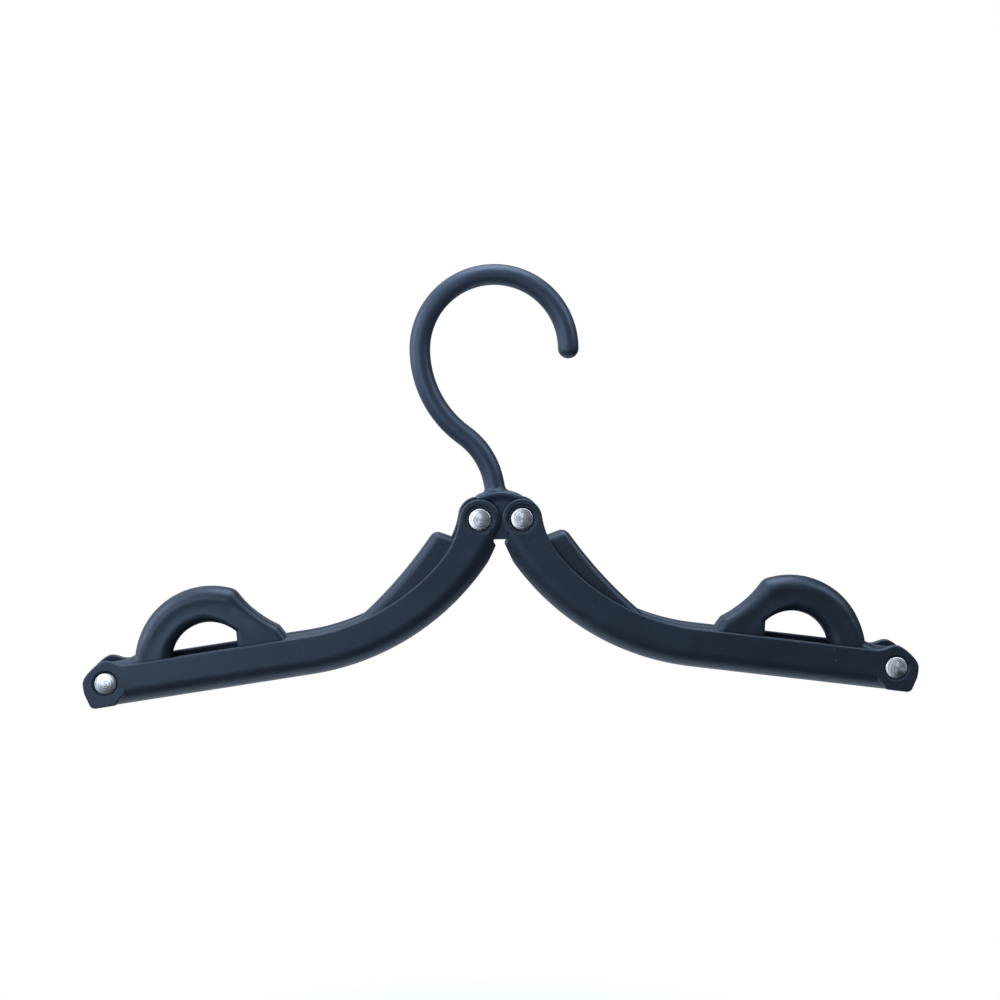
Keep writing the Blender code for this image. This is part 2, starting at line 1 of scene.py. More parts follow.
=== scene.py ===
"""Looks of the folding travel hanger: fine mouldings, satin black plastic and bright rivets.

Every piece lies where its CAD node does, with the rail seat at the origin, X along the arms,
Y through the thickness and Z up. Lengths are in metres.
"""
import functools
import json
import math

import bpy
import numpy as np
from mathutils import Matrix, Vector


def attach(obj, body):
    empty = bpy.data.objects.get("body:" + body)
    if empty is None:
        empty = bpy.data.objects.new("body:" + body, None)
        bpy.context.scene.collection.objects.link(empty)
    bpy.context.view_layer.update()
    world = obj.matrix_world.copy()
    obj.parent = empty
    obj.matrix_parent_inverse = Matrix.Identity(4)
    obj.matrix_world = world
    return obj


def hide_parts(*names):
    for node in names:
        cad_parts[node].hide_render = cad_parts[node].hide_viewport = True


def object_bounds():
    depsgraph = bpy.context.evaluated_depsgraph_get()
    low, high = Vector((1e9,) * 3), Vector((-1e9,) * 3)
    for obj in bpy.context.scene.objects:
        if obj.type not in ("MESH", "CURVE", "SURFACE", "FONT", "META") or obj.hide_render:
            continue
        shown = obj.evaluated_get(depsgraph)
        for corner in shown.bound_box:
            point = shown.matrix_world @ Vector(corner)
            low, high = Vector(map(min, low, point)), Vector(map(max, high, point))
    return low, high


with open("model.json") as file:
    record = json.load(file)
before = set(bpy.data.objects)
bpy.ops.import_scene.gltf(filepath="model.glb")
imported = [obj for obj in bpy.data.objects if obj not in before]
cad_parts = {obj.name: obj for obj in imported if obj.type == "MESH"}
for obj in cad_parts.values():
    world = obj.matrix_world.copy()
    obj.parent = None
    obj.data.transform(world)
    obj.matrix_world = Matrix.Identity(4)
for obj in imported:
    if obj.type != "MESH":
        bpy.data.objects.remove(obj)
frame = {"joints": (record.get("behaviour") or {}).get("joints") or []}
cad_low, cad_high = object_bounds()
scene = bpy.context.scene
scene.view_settings.view_transform = "Standard"
MM = 0.001


# Camera
# The hanger was seen nearly square on, from a little to the left and above, with a long lens
# at about arm's length. The frame is 1000 pixels each way. Its turns are in radians.
FRAME_PIXELS = 1000
FOCAL_PIXELS = 1658.5
SENSOR_WIDTH = 36.0
CAMERA_PLACE = Vector((-27.2, -495.0, -25.1)) * MM
CAMERA_TURN = 0.0225
CAMERA_TILT_DOWN = 0.0778
CAMERA_ROLL = 0.0163
SHIFT_PIXELS = 57.4

camera_data = bpy.data.cameras.new("photo_camera")
camera_data.sensor_width = SENSOR_WIDTH
camera_data.lens = SENSOR_WIDTH * FOCAL_PIXELS / FRAME_PIXELS
camera_data.shift_x = SHIFT_PIXELS / FRAME_PIXELS
camera = bpy.data.objects.new("photo_camera", camera_data)
camera.matrix_world = (Matrix.Translation(CAMERA_PLACE)
                       @ Matrix.Rotation(-CAMERA_TURN, 4, "Z")
                       @ Matrix.Rotation(math.radians(90) - CAMERA_TILT_DOWN, 4, "X")
                       @ Matrix.Rotation(-CAMERA_ROLL, 4, "Z"))
scene.collection.objects.link(camera)
scene.camera = camera


# Studio
# A white backdrop stands all round for the camera, and gloss and metal see it behind the hanger,
# dimmer and bluer. The room in front is lit from the left, at eye level and from overhead, and
# it is dark towards the ground.

# The pale floor lies below the hanger and fades out at its edge
FLOOR_DROP = 0.42
FLOOR_RADIUS = 0.36
FLOOR_FADE_SHARE = 0.75
FLOOR_SETBACK = 0.20
FLOOR_SIDE_DEGREES = 5
FLOOR_COLOUR = (0.86, 0.86, 0.86, 1.0)
FLOOR_ROUGHNESS = 0.8
WHITE = (1.0, 1.0, 1.0, 1.0)
ROOM_COLOUR = (0.75, 0.85, 1.0, 1.0)
GLOSS_COLOUR = (0.50, 0.62, 0.80, 1.0)
# The room's level from straight down (-1) to straight up (1). Its curve holds no more than one,
# so the levels are halved there, and the levels from left to right make up for it.
HEIGHT_LEVELS = ((-1.0, 0.04), (-0.60, 0.06), (-0.25, 0.75), (-0.05, 1.00), (0.25, 0.55),
                 (0.65, 1.10), (1.0, 1.30))
SIDE_SPAN = (-0.45, 0.38)
SIDE_LEVELS = (3.4, 0.20)
BEHIND_SPAN = (0.62, 0.96)
# Name, place, width and power of each lamp
LAMPS = (("left_softbox", (-0.42, -0.10, 0.06), 0.35, 1.5),
         ("front_softbox", (-0.20, -0.36, -0.06), 0.18, 0.46),
         ("top_softbox", (0.05, -0.02, 0.45), 0.50, 4.5),
         ("right_fill", (0.45, -0.20, 0.22), 0.35, 1.7))


def feed(tree, node, inputs):
    """Sets a node's inputs, and links those for which another node's output is given."""
    for name, value in inputs.items():
        if isinstance(value, bpy.types.NodeSocket):
            tree.links.new(value, node.inputs[name])
        else:
            node.inputs[name].default_value = value


def add_node(tree, kind, inputs=None, **settings):
    """A new node, with its settings made before its inputs are fed."""
    node = tree.nodes.new(kind)
    for name, value in settings.items():
        setattr(node, name, value)
    feed(tree, node, inputs or {})
    return node


def worked(tree, operation, *values):
    """Numbers or outputs worked into one by a math node."""
    node = add_node(tree, "ShaderNodeMath", dict(enumerate(values)), operation=operation)
    return node.outputs["Value"]


def ranged(tree, source, span, levels, blend="LINEAR"):
    """An output carried from one span of numbers to another."""
    inputs = {"Value": source, "From Min": span[0], "From Max": span[1],
              "To Min": levels[0], "To Max": levels[1]}
    return add_node(tree, "ShaderNodeMapRange", inputs, interpolation_type=blend).outputs["Result"]


def mixed(tree, share, first, second):
    """Two colours mixed by a share."""
    inputs = {"Factor": share, "A": first, "B": second}
    return add_node(tree, "ShaderNodeMix", inputs, data_type="RGBA").outputs["Result"]


def new_material(name):
    """A material that uses nodes, its tree and its shader."""
    material = bpy.data.materials.new(name)
    material.use_nodes = True
    return material, material.node_tree, material.node_tree.nodes["Principled BSDF"]


world = bpy.data.worlds.new("white_backdrop")
scene.world = world
world.use_nodes = True
tree = world.node_tree
tree.nodes.clear()
ray = add_node(tree, "ShaderNodeLightPath").outputs
direction = add_node(tree, "ShaderNodeTexCoord").outputs["Generated"]
parts = add_node(tree, "ShaderNodeSeparateXYZ", {"Vector": direction}).outputs
height = ranged(tree, parts["Z"], (-1.0, 1.0), (0.0, 1.0))
levels = add_node(tree, "ShaderNodeFloatCurve", {"Value": height})
curve = levels.mapping.curves[0]
for i, (rise, level) in enumerate(HEIGHT_LEVELS):
    spot = ((rise + 1) / 2, level / 2)
    if 0 < i < len(HEIGHT_LEVELS) - 1:
        curve.points.new(*spot)
    else:
        curve.points[0 if i == 0 else -1].location = spot
levels.mapping.update()
sideways = ranged(tree, parts["X"], SIDE_SPAN, SIDE_LEVELS, "SMOOTHSTEP")
strength = worked(tree, "MULTIPLY", levels.outputs["Value"], sideways)
room = add_node(tree, "ShaderNodeBackground", {"Color": ROOM_COLOUR, "Strength": strength})
colour = mixed(tree, ray["Is Camera Ray"], GLOSS_COLOUR, WHITE)
backdrop = add_node(tree, "ShaderNodeBackground", {"Color": colour})
behind = ranged(tree, parts["Y"], BEHIND_SPAN, (0.0, 1.0), "SMOOTHSTEP")
in_gloss = worked(tree, "MAXIMUM", ray["Is Glossy Ray"], ray["Is Transmission Ray"])
gloss_behind = worked(tree, "MULTIPLY", in_gloss, behind)
white_share = worked(tree, "MAXIMUM", ray["Is Camera Ray"], gloss_behind)
chosen = add_node(tree, "ShaderNodeMixShader", {
    "Fac": white_share, 1: room.outputs["Background"], 2: backdrop.outputs["Background"]})
add_node(tree, "ShaderNodeOutputWorld", {"Surface": chosen.outputs["Shader"]})

target = (cad_low + cad_high) / 2
for name, place, width, power in LAMPS:
    lamp_data = bpy.data.lights.new(name, "AREA")
    lamp_data.shape = "DISK"
    lamp_data.size = width
    lamp_data.energy = power
    lamp_data.color = ROOM_COLOUR[:3]
    lamp = bpy.data.objects.new(name, lamp_data)
    lamp.location = place
    lamp.rotation_euler = (target - Vector(place)).to_track_quat("-Z", "Y").to_euler()
    scene.collection.objects.link(lamp)

floor_material, tree, paint = new_material("pale_floor")
feed(tree, paint, {"Base Color": FLOOR_COLOUR, "Roughness": FLOOR_ROUGHNESS})
clear = add_node(tree, "ShaderNodeBsdfTransparent")
place = add_node(tree, "ShaderNodeTexCoord").outputs["Object"]
reach = add_node(tree, "ShaderNodeVectorMath", {0: place}, operation="LENGTH").outputs["Value"]
fade_span = (FLOOR_RADIUS * FLOOR_FADE_SHARE, FLOOR_RADIUS)
fade = ranged(tree, reach, fade_span, (0.0, 1.0), "SMOOTHSTEP")
faded = add_node(tree, "ShaderNodeMixShader", {
    "Fac": fade, 1: paint.outputs["BSDF"], 2: clear.outputs["BSDF"]})
feed(tree, tree.nodes["Material Output"], {"Surface": faded.outputs["Shader"]})

floor_mesh = bpy.data.meshes.new("floor")
turns = [math.radians(degrees) for degrees in range(0, 360, FLOOR_SIDE_DEGREES)]
rim = [(FLOOR_RADIUS * math.cos(turn), FLOOR_RADIUS * math.sin(turn), 0.0) for turn in turns]
floor_mesh.from_pydata(rim, [], [list(range(len(rim)))])
floor_mesh.materials.append(floor_material)
floor = bpy.data.objects.new("floor", floor_mesh)
floor.location = (0.0, FLOOR_SETBACK, cad_high.z - FLOOR_DROP)
scene.collection.objects.link(floor)


# Hook and hub
# The open hook, its stem and the hub under it are one moulding in satin black plastic with
# a blue cast. The hub's cap sits over the arms' ears, and its core fills the space between them.

# The rod's path, from the hook's open end down to the stem, and its foot on the cap
ROD_RADIUS = 3.1 * MM
RING_RADIUS = 22.1 * MM
LOWER_ARC_RADIUS = 31.7 * MM
STEM_ARC_RADIUS = 22.3 * MM
LOWER_ARC_DEGREES = 53.3
STEM_LEAN_DEGREES = 10.9
STEM_FLARE = 1.5 * MM
STEM_SINK = 0.01 * MM
ROD_STEP_DEGREES = 2.5
ROD_SIDES = 96
ROD_END_STEPS = 10
ROD_END_FIRST_SHARE = 0.2
# The cap and the core, from the middle between the hub rivets
CAP_RISE = 8.2 * MM
CAP_RADIUS = 14.0 * MM
CAP_UNDERSIDE = 4.7 * MM
CAP_EAR_RADIUS = 6.1 * MM
CAP_END_DEGREES = 80.0
CAP_HALF = 5.8 * MM
CAP_LEAN = 0.6
CAP_ROUND = 1.6 * MM
CAP_END_ROUND = 0.6 * MM
CORE_RISE = 6.9 * MM
CORE_DROP = 6.2 * MM
CORE_FLOOR_WIDTH = 6.8 * MM
CORE_HALF = 4.2 * MM
LUG_RADIUS = 5.0 * MM
EDGE_ROUND = 0.35 * MM
BORE_RADIUS = 2.3 * MM
EAR_STEP_DEGREES = 5.0
HOOK_SHARP_DEGREES = 50
# The hub's grid, and how the mesh maker settles its points on a surface
HUB_STEP = 0.25 * MM
SETTLING_ROUNDS = 3
PROBE_SHARE = 0.125
LEAST_STEEPNESS = 0.25
LONGEST_PUSH = 0.5
TINY = 1e-12
# The plastic's two tones, and the span of numbers that a noise pattern mostly covers
PLASTIC_DARK = (0.0055, 0.0080, 0.0125)
PLASTIC_LIGHT = (0.0090, 0.0130, 0.0200)
PLASTIC_TINT = (0.66, 0.80, 1.0, 1.0)
PLASTIC_IOR = 1.5
PLASTIC_SPECULAR = 0.5
NOISE_SPAN = (0.3, 0.7)
SEED_SHIFT = (0.137, 0.071, 0.113)
SATIN_ROUGHNESS = (0.42, 0.50)
DULL_ROUGHNESS = 0.95
DULL_SLACK = 0.035 * MM
DUST_COLOUR = (0.16, 0.18, 0.21, 1.0)
DUST_SPAN = (0.78, 0.84)
DUST_COVER = 0.6
GRAIN_STRENGTH = 0.25
GRAIN_DEPTH = 0.04 * MM
# Scale, detail and roughness of each noise pattern
CLOUD_NOISE = (60.0, 3.0, 0.55)
DUST_NOISE = (900.0, 1.0, 0.5)
SATIN_NOISE = (240.0, 4.0, 0.6)
GRAIN_NOISE = (3200.0, 2.0, 0.5)
# The pattern's place, and the plastic's depth of colour on the hook
HOOK_SEED = 1
# The hook's tone is partly the moulding's own shade and partly painted light, lifting the rod and
# cap as if lit
HOOK_TONE_WITH_PAINTED_LIGHT = 2.2

pivots = {joint["name"]: Vector(joint["pos_m"]) for joint in frame["joints"]}
hub_middle = (pivots["left_arm_fold"] + pivots["right_arm_fold"]) / 2
half_spacing = (pivots["right_arm_fold"].x - pivots["left_arm_fold"].x) / 2
ring_centre = (0.0, ROD_RADIUS - RING_RADIUS)
lower_centre = (ring_centre[0] - RING_RADIUS + LOWER_ARC_RADIUS, ring_centre[1])


def point_at(centre, radius, degrees):
    """The point at a distance and a direction from a centre."""
    angle = math.radians(degrees)
    return (centre[0] + radius * math.cos(angle), centre[1] + radius * math.sin(angle))


def heading(start, end):
    """The direction from one point to another, in degrees."""
    return math.degrees(math.atan2(end[1] - start[1], end[0] - start[0]))


def arc(centre, radius, start, end, step):
    """Points along an arc, both ends included, no more than step degrees apart."""
    count = max(1, math.ceil(abs(end - start) / step))
    return [point_at(centre, radius, start + (end - start) * i / count) for i in range(count + 1)]


stem_centre = point_at(lower_centre, LOWER_ARC_RADIUS + STEM_ARC_RADIUS, 180 + LOWER_ARC_DEGREES)
stem_top = point_at(stem_centre, STEM_ARC_RADIUS, STEM_LEAN_DEGREES)
down = point_at((0.0, 0.0), 1, STEM_LEAN_DEGREES - 90)


def outline_field(outline, x, z):
    """Signed distance from a closed outline, negative inside."""
    nearest = np.full(np.broadcast(x, z).shape, np.inf)
    inside = np.zeros(nearest.shape, bool)
    for (ax, az), (bx, bz) in zip(outline, outline[1:] + outline[:1]):
        ex = bx - ax
        ez = bz - az
        along = np.clip(((x - ax) * ex + (z - az) * ez) / (ex * ex + ez * ez), 0, 1)
        nearest = np.minimum(nearest, np.hypot(x - ax - along * ex, z - az - along * ez))
        if ez != 0:
            inside ^= ((az > z) != (bz > z)) & (x < ax + (z - az) * ex / ez)
    return np.where(inside, -nearest, nearest)


def both(first, second, rounding):
    """Field of what two solids share, with the edge between them rounded."""
    corner = np.hypot(np.maximum(first + rounding, 0), np.maximum(second + rounding, 0))
    return np.minimum(np.maximum(first, second), -rounding) + corner


def either(first, second, fillet):
    """Field of two solids together, with a fillet in the corner between them."""
    corner = np.hypot(np.maximum(fillet - first, 0), np.maximum(fillet - second, 0))
    return np.maximum(np.minimum(first, second), fillet) - corner


def hub_field(x, y, z):
    """The hub, from the middle between its rivets: cap over the ears and core between them."""
    across = np.abs(x)
    crown = np.hypot(x, z - (CAP_RISE - CAP_RADIUS)) - CAP_RADIUS
    over_ears = CAP_EAR_RADIUS - np.hypot(across - half_spacing, z)
    lean = math.radians(CAP_END_DEGREES)
    end = (across - half_spacing) * math.sin(lean) - z * math.cos(lean)
    cap = both(both(crown, end, CAP_END_ROUND), np.abs(y) - CAP_HALF - CAP_LEAN * crown, CAP_ROUND)
    cap = both(cap, np.maximum(over_ears, CAP_UNDERSIDE - z), EDGE_ROUND)
    lug = (half_spacing, 0.0)
    corner = (CORE_FLOOR_WIDTH / 2, -CORE_DROP)
    touch = heading(lug, corner) + math.degrees(math.acos(LUG_RADIUS / math.dist(lug, corner)))
    right = [corner] + arc(lug, LUG_RADIUS, touch, 90, EAR_STEP_DEGREES)
    right += [(half_spacing - EDGE_ROUND, CORE_RISE)]
    core_side = outline_field(right + [(-px, pz) for px, pz in reversed(right)], x, z)
    core = both(core_side, np.abs(y) - CORE_HALF, EDGE_ROUND)
    hub = either(cap, core, EDGE_ROUND)
    aside = (x + hub_middle.x - stem_top[0]) * down[1] - (z + hub_middle.z - stem_top[1]) * down[0]
    stub = np.maximum(np.hypot(aside, y) - ROD_RADIUS + STEM_SINK, z - CAP_RISE - 2 * STEM_FLARE)
    hub = either(hub, np.maximum(stub, CAP_UNDERSIDE - z), STEM_FLARE)
    return np.maximum(hub, BORE_RADIUS - np.hypot(across - half_spacing, z))


def skin(field, low, high, step):
    """A closed mesh on a field's zero surface, with one point in each grid cell that it crosses."""
    low = np.array(low)
    counts = np.ceil((np.array(high) - low) / step).astype(int) + 1
    lines = [low[i] + step * np.arange(counts[i]) for i in range(3)]
    value = field(lines[0][:, None, None], lines[1][None, :, None], lines[2][None, None, :])
    value = np.broadcast_to(value, counts)
    inside = value < 0
    shifts = [(i, j, k) for i in (0, 1) for j in (0, 1) for k in (0, 1)]
    ends = counts - 1
    held = sum(inside[i:i + ends[0], j:j + ends[1], k:k + ends[2]].astype(np.int8)
               for i, j, k in shifts)
    crossed = (held > 0) & (held < len(shifts))
    cells = np.argwhere(crossed)
    number = np.full(crossed.shape, -1)
    number[crossed] = np.arange(len(cells))
    at_corner = {shift: value[tuple((cells + shift).T)] for shift in shifts}
    total = np.zeros((len(cells), 3))
    crossings = np.zeros((len(cells), 1))
    for start in shifts:
        for axis in range(3):
            if start[axis] == 1:
                continue
            stop = tuple(1 if i == axis else start[i] for i in range(3))
            a, b = at_corner[start], at_corner[stop]
            hit = (a < 0) != (b < 0)
            share = np.where(hit, a / np.where(hit, a - b, 1), 0)[:, None]
            place = np.array(start) + share * (np.array(stop) - np.array(start))
            total += np.where(hit[:, None], place, 0)
            crossings += hit[:, None]
    points = low + step * (cells + total / crossings)
    quads = []
    for axis in range(3):
        u, v = (axis + 1) % 3, (axis + 2) % 3
        near = np.take(inside, range(counts[axis] - 1), axis)
        far = np.take(inside, range(1, counts[axis]), axis)
        edges = np.argwhere(near != far)
        ring = []
        for du, dv in ((1, 1), (0, 1), (0, 0), (1, 0)):
            cell = edges.copy()
            cell[:, u] -= du
            cell[:, v] -= dv
            ring.append(number[cell[:, 0], cell[:, 1], cell[:, 2]])
        quad = np.stack(ring, 1)
        leaving = near[edges[:, 0], edges[:, 1], edges[:, 2]]
        quad[~leaving] = quad[~leaving][:, ::-1]
        quads.append(quad)
    reach = step * PROBE_SHARE
    probes = reach * np.eye(3)
    for settling in range(SETTLING_ROUNDS):
        level = field(*points.T)
        slope = np.stack([(field(*(points + probe).T) - level) / reach for probe in probes], 1)
        steep = np.maximum((slope * slope).sum(1), LEAST_STEEPNESS)
        push = -(level / steep)[:, None] * slope
        size = np.linalg.norm(push, axis=1, keepdims=True)
        points = points + push * np.minimum(1, step * LONGEST_PUSH / np.maximum(size, TINY))
    slope = np.stack([field(*(points + probe).T) - field(*(points - probe).T)
                      for probe in probes], 1)
    normals = slope / np.maximum(np.linalg.norm(slope, axis=1, keepdims=True), TINY)
    return points, np.concatenate(quads), normals


def add_piece(name, mesh_data, material, body, node):
    """Links a finished mesh as a visible piece that stands for one CAD node."""
    piece = bpy.data.objects.new(name, mesh_data)
    scene.collection.objects.link(piece)
    mesh_data.materials.clear()
    mesh_data.materials.append(material)
    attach(piece, body)
    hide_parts(node)


def mesh_of(name, points, faces, normals):
    """A smooth mesh that keeps the field's own normals."""
    mesh_data = bpy.data.meshes.new(name)
    mesh_data.from_pydata(points.tolist(), [], faces.tolist())
    mesh_data.shade_smooth()
    mesh_data.normals_split_custom_set_from_vertices(normals.tolist())
    return mesh_data


def noise(tree, where, scale, detail, roughness):
    """The level of a noise pattern at a place on the piece."""
    inputs = {"Vector": where, "Scale": scale, "Detail": detail, "Roughness": roughness}
    return add_node(tree, "ShaderNodeTexNoise", inputs).outputs["Fac"]


def satin_plastic(name, seed, strength, dull_wall=None):
    """Black moulded plastic with a blue cast: mould grain, faint flow clouds and dust.

    The strength scales its colour, partly as a moulding's own shade and partly as painted light:
    above one paints a piece lighter as if lit, below one darker as if shaded. Where the dull wall's
    distance is given, walls that stand there, off the middle plane, are dull, as the mould's
    core is not polished.
    """
    material, tree, shader = new_material(name)
    place = add_node(tree, "ShaderNodeTexCoord").outputs["Object"]
    shift = tuple(seed * part for part in SEED_SHIFT)
    shifted = add_node(tree, "ShaderNodeMapping", {"Vector": place, "Location": shift})
    where = shifted.outputs["Vector"]
    # Both tones are scaled by the strength, which paints light or shade across the whole piece
    dark = tuple(strength * part for part in PLASTIC_DARK) + (1.0,)
    light = tuple(strength * part for part in PLASTIC_LIGHT) + (1.0,)
    clouds = ranged(tree, noise(tree, where, *CLOUD_NOISE), NOISE_SPAN, (0.0, 1.0))
    dust = ranged(tree, noise(tree, where, *DUST_NOISE), DUST_SPAN, (0.0, DUST_COVER))
    colour = mixed(tree, dust, mixed(tree, clouds, dark, light), DUST_COLOUR)
    satin = ranged(tree, noise(tree, where, *SATIN_NOISE), NOISE_SPAN, SATIN_ROUGHNESS)
    if dull_wall is not None:
        parts = add_node(tree, "ShaderNodeSeparateXYZ", {"Vector": place}).outputs
        off_middle = worked(tree, "ABSOLUTE", parts["Y"])
        on_wall = worked(tree, "COMPARE", off_middle, dull_wall, DULL_SLACK)
        satin = worked(tree, "MAXIMUM", worked(tree, "MULTIPLY", on_wall, DULL_ROUGHNESS), satin)
    grain = add_node(tree, "ShaderNodeBump", {
        "Strength": GRAIN_STRENGTH, "Distance": GRAIN_DEPTH,
        "Height": noise(tree, where, *GRAIN_NOISE)})
    feed(tree, shader, {
        "Base Color": colour, "Roughness": satin, "Normal": grain.outputs["Normal"],
        "Specular IOR Level": PLASTIC_SPECULAR, "Specular Tint": PLASTIC_TINT,
        "IOR": PLASTIC_IOR})
    return material


def start_tree(name, shape, sizes, result):
    """A geometry tree with its sockets, its inputs' outputs by name and their identifiers."""
    tree = bpy.data.node_groups.new(name, "GeometryNodeTree")
    tree.interface.new_socket(shape, in_out="INPUT", socket_type="NodeSocketGeometry")
    sockets = {}
    for size, kind in sizes:
        socket = tree.interface.new_socket(size, in_out="INPUT", socket_type="NodeSocket" + kind)
        sockets[size] = socket.identifier
    tree.interface.new_socket(result, in_out="OUTPUT", socket_type="NodeSocketGeometry")
    return tree, add_node(tree, "NodeGroupInput").outputs, sockets


def end_tree(tree, mesh, finish, result):
    """Ends a geometry tree with smooth shading, real faces and the finish."""
    smooth = add_node(tree, "GeometryNodeSetShadeSmooth", {"Geometry": mesh})
    real = add_node(tree, "GeometryNodeRealizeInstances",
                    {"Geometry": smooth.outputs["Geometry"]})
    painted = add_node(tree, "GeometryNodeSetMaterial",
                       {"Geometry": real.outputs["Geometry"], "Material": finish})
    add_node(tree, "NodeGroupOutput", {result: painted.outputs["Geometry"]})


def rod_tree():
    """Geometry nodes that sweep a round rod along a path, by the path's own thickness."""
    tree, given, sockets = start_tree("round_rod", "Path", (
        ("Rod Radius", "Float"), ("Sides", "Int"), ("Finish", "Material")), "Rod")
    path = add_node(tree, "GeometryNodeMeshToCurve", {"Mesh": given["Path"]})
    thickness = add_node(tree, "GeometryNodeInputNamedAttribute", {"Name": "thickness"},
                         data_type="FLOAT")
    radius = worked(tree, "MULTIPLY", thickness.outputs["Attribute"], given["Rod Radius"])
    profile = add_node(tree, "GeometryNodeCurvePrimitiveCircle",
                       {"Radius": 1.0, "Resolution": given["Sides"]})
    swept = add_node(tree, "GeometryNodeCurveToMesh", {
        "Curve": path.outputs["Curve"], "Profile Curve": profile.outputs["Curve"],
        "Scale": radius, "Fill Caps": True})
    end_tree(tree, swept.outputs["Mesh"], given["Finish"], "Rod")
    return tree, sockets


def plain_mesh(item):
    """The evaluated mesh of an object, on its own."""
    depsgraph = bpy.context.evaluated_depsgraph_get()
    return bpy.data.meshes.new_from_object(item.evaluated_get(depsgraph), depsgraph=depsgraph)


def chain(count):
    """The edges that join a row of points."""
    return [(i, i + 1) for i in range(count - 1)]


path = arc(ring_centre, RING_RADIUS, 0, 180, ROD_STEP_DEGREES)
path += arc(lower_centre, LOWER_ARC_RADIUS, 180, 180 + LOWER_ARC_DEGREES, ROD_STEP_DEGREES)[1:]
path += arc(stem_centre, STEM_ARC_RADIUS, LOWER_ARC_DEGREES, STEM_LEAN_DEGREES,
            ROD_STEP_DEGREES)[1:]
into_cap = (stem_top[1] - hub_middle.z - CAP_RISE) / -down[1] + CAP_ROUND
stations = []
for i in range(ROD_END_STEPS):
    angle = math.radians(90 * (i + ROD_END_FIRST_SHARE) / ROD_END_STEPS)
    stations.append((path[0][0], path[0][1] - ROD_RADIUS * math.cos(angle), math.sin(angle)))
stations += [(x, z, 1.0) for x, z in path]
stations.append((stem_top[0] + down[0] * into_cap, stem_top[1] + down[1] * into_cap, 1.0))

hook_plastic = satin_plastic("hook_satin_plastic", HOOK_SEED, HOOK_TONE_WITH_PAINTED_LIGHT)
route = bpy.data.meshes.new("hook_route")
route.from_pydata([(x, 0.0, z) for x, z, share in stations], chain(len(stations)), [])
thickness = route.attributes.new("thickness", "FLOAT", "POINT")
thickness.data.foreach_set("value", [share for x, z, share in stations])
rod = bpy.data.objects.new("hook_rod", route)
scene.collection.objects.link(rod)
rod_nodes, rod_sockets = rod_tree()
sweep = rod.modifiers.new("rod", "NODES")
sweep.node_group = rod_nodes
sweep[rod_sockets["Rod Radius"]] = ROD_RADIUS
sweep[rod_sockets["Sides"]] = ROD_SIDES
sweep[rod_sockets["Finish"]] = hook_plastic
rod_mesh = plain_mesh(rod)
rod.modifiers.clear()
rod.data = rod_mesh

hub_points, hub_faces, hub_normals = skin(
    hub_field, (-2 * half_spacing, -CAP_HALF - MM, -CORE_DROP - MM),
    (2 * half_spacing, CAP_HALF + MM, CAP_RISE + 3 * STEM_FLARE), HUB_STEP)
hub_points = hub_points + np.array(hub_middle)
hub = bpy.data.objects.new("hub_blank", mesh_of("hub_blank", hub_points, hub_faces, hub_normals))
scene.collection.objects.link(hub)
weld = hub.modifiers.new("rod", "BOOLEAN")
weld.operation = "UNION"
weld.solver = "EXACT"
weld.object = rod
hook_mesh = plain_mesh(hub)
hook_mesh.shade_smooth()
hook_mesh.set_sharp_from_angle(angle=math.radians(HOOK_SHARP_DEGREES))
bpy.data.objects.remove(hub)
bpy.data.objects.remove(rod)
add_piece("hook_moulding", hook_mesh, hook_plastic, "hook", "hook_hub")


# Arms
# Each arm is a curved U-channel, open on top, in the same plastic. Its walls end in ears that
# carry a rivet at each end, and its web stops under the hub's core, which holds the arm open.

# The arm's line runs straight through the tip rivet and bends up towards the hub. Its floor and
# walls are measured off that line, and the wall's edge, lip and stop shelf from the hub rivet.
ARM_RUN = 111.9 * MM
ARM_DROP = 46.9 * MM
ARM_HALF = 6.5 * MM
SLOPE = math.radians(7.8)
BEND_RADIUS = 77.0 * MM
BEND_HUB_DEPTH = 8.9 * MM
BEND_END_RUN = 10.9 * MM
FLOOR_LINE = 7.5 * MM
WALL_RISE = 4.65 * MM
BACK_WALL_RISE = 5.05 * MM
WALL = 2.0 * MM
BOTTOM_ROUND = 5.6 * MM
RIM_ROUND = 0.5 * MM
HUB_EAR_RADIUS = 6.0 * MM
SHOULDER_RADIUS = 25.0 * MM
WALL_EDGE = -4.15 * MM
LIP = (-4.83 * MM, -8.0 * MM)
LIP_CORNER = (-4.15 * MM, -6.9 * MM)
STOP_SHELF = 1.65 * MM
SHELF_DROP = 6.5 * MM
# The tip's ears and block, from the tip rivet
TIP_EAR_RADIUS = 6.79 * MM
TIP_EAR_FILLET = 6.0 * MM
TIP_FLAT_DISTANCE = 6.0 * MM
TIP_FLAT_DEGREES = 54.0
TIP_CORNER_RUN = 5.4 * MM
TIP_SIDE_DROP = 2.0 * MM
TIP_FOOT_DROP = 6.95 * MM
TIP_CORNER_ROUND = 1.2 * MM
BOSS_RADIUS = 6.4 * MM
BOSS_FOOT = 2.75 * MM
BOSS_EASE = 3.0 * MM
BOSS_ROUND = 1.3 * MM
# The rivets' seats, sunk in two steps into the ears
SEAT_DEPTH = 0.9 * MM
SEAT_RADIUS = 3.45 * MM
SINK_DEPTH = 0.35 * MM
HUB_SINK_RADIUS = 4.4 * MM
TIP_SINK_RADIUS = 3.9 * MM
SINK_ROUND = 0.12 * MM
# The mesh's grid, the pattern's place and the plastic's depth of colour
ARM_STEP = 0.34 * MM
ARM_SEED = 3
ARM_TONE = 1.0
MIRROR = np.array([-1.0, 1.0, 1.0])

tip = (ARM_RUN, -ARM_DROP)


def circles_meet(first, first_radius, second, second_radius, side):
    """The point where two circles cross, left (1) or right (-1) of the line of centres."""
    apart = math.dist(first, second)
    cosine = (first_radius ** 2 + apart ** 2 - second_radius ** 2) / (2 * first_radius * apart)
    turn = side * math.degrees(math.acos(cosine))
    return point_at(first, first_radius, heading(first, second) + turn)


